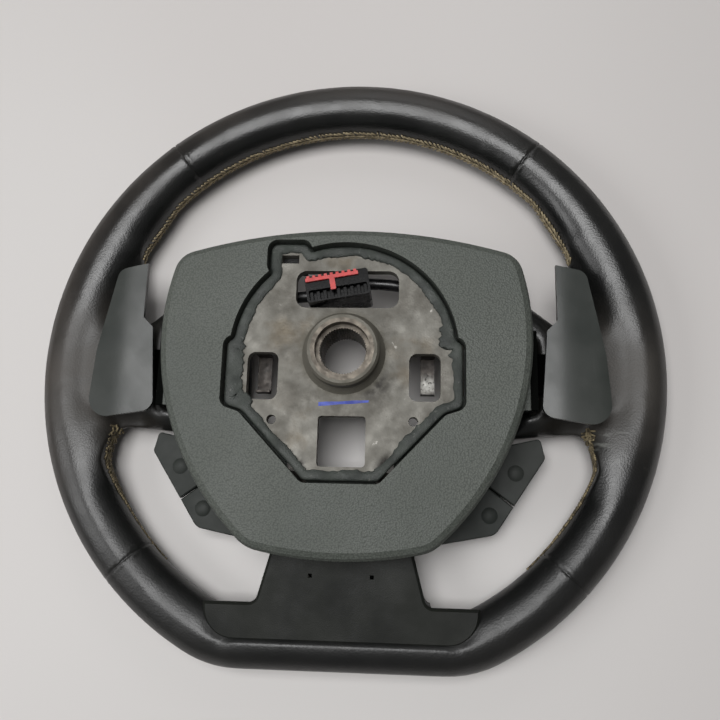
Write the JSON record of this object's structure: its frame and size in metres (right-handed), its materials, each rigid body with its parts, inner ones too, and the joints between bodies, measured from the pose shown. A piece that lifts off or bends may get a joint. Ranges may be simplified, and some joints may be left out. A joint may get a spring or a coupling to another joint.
{
  "type": "steering wheel",
  "caption": "Flat-bottomed leather car steering wheel without its airbag: cast dished frame, splined hub, grained rear cover, hinged shift paddles and sprung finger keys.",
  "frame": {"origin": "on the hub axis at the boss's rear face", "axes": "+Z along the hub axis to the steering column, +Y to twelve o'clock, +X to the right of the wheel seen from its rear"},
  "size_m": [0.38, 0.3654, 0.0683],
  "materials": {
    "cast_alloy": "as cast, stained",
    "hub_steel": "machined",
    "grey_foam": "moulded foam",
    "black_leather": "worn satin",
    "grained_plastic": "fine grain",
    "smooth_plastic": "fine matt",
    "satin_plastic": "satin",
    "inner_plastic": "moulded",
    "plug_black": "gloss",
    "lock_red": "gloss",
    "loom_black": "taped",
    "pin_steel": "ground",
    "switch_black": "moulded",
    "mat_rubber": "moulded",
    "board_green": "lacquered",
    "spring_steel": "rolled"
  },
  "bodies": {
    "wheel": {"armature": "cast_alloy", "rim_core": "cast_alloy", "splined_hub": "hub_steel", "hub_foam": "grey_foam", "leather_rim": "black_leather", "rear_cover": "grained_plastic", "lower_spoke_cover": "smooth_plastic", "lower_spoke_trim": "smooth_plastic", "column_plug": "plug_black", "plug_lock": "lock_red", "right_loom": "loom_black", "left_loom": "loom_black", "right_paddle_pin": "pin_steel", "right_paddle_bracket": "inner_plastic", "right_paddle_switch": "switch_black", "right_switch_housing": "inner_plastic", "right_key_mat": "mat_rubber", "right_switch_board": "board_green", "right_airbag_spring": "spring_steel", "left_paddle_pin": "pin_steel", "left_paddle_bracket": "inner_plastic", "left_paddle_switch": "switch_black", "left_switch_housing": "inner_plastic", "left_key_mat": "mat_rubber", "left_switch_board": "board_green", "left_airbag_spring": "spring_steel"},
    "right_paddle": {"right_paddle": "satin_plastic"},
    "right_upper_key": {"right_upper_key": "satin_plastic"},
    "right_lower_key": {"right_lower_key": "satin_plastic"},
    "left_paddle": {"left_paddle": "satin_plastic"},
    "left_upper_key": {"left_upper_key": "satin_plastic"},
    "left_lower_key": {"left_lower_key": "satin_plastic"}
  },
  "joints": [
    {"name": "right_paddle_pull", "type": "hinge", "parent": "wheel", "child": "right_paddle", "pos_m": [0.104, -0.006, -0.035], "axis": [0, 1, 0], "range_deg": [0, 5], "stiffness_Nm_per_rad": 3},
    {"name": "right_upper_key_press", "type": "slide", "parent": "wheel", "child": "right_upper_key", "axis": [0, 0, -1], "range_m": [0, 0.001], "stiffness_N_per_m": 1500},
    {"name": "right_lower_key_press", "type": "slide", "parent": "wheel", "child": "right_lower_key", "axis": [0, 0, -1], "range_m": [0, 0.001], "stiffness_N_per_m": 1500},
    {"name": "left_paddle_pull", "type": "hinge", "parent": "wheel", "child": "left_paddle", "pos_m": [-0.104, -0.006, -0.035], "axis": [0, -1, 0], "range_deg": [0, 5], "stiffness_Nm_per_rad": 3},
    {"name": "left_upper_key_press", "type": "slide", "parent": "wheel", "child": "left_upper_key", "axis": [0, 0, -1], "range_m": [0, 0.001], "stiffness_N_per_m": 1500},
    {"name": "left_lower_key_press", "type": "slide", "parent": "wheel", "child": "left_lower_key", "axis": [0, 0, -1], "range_m": [0, 0.001], "stiffness_N_per_m": 1500}
  ]
}
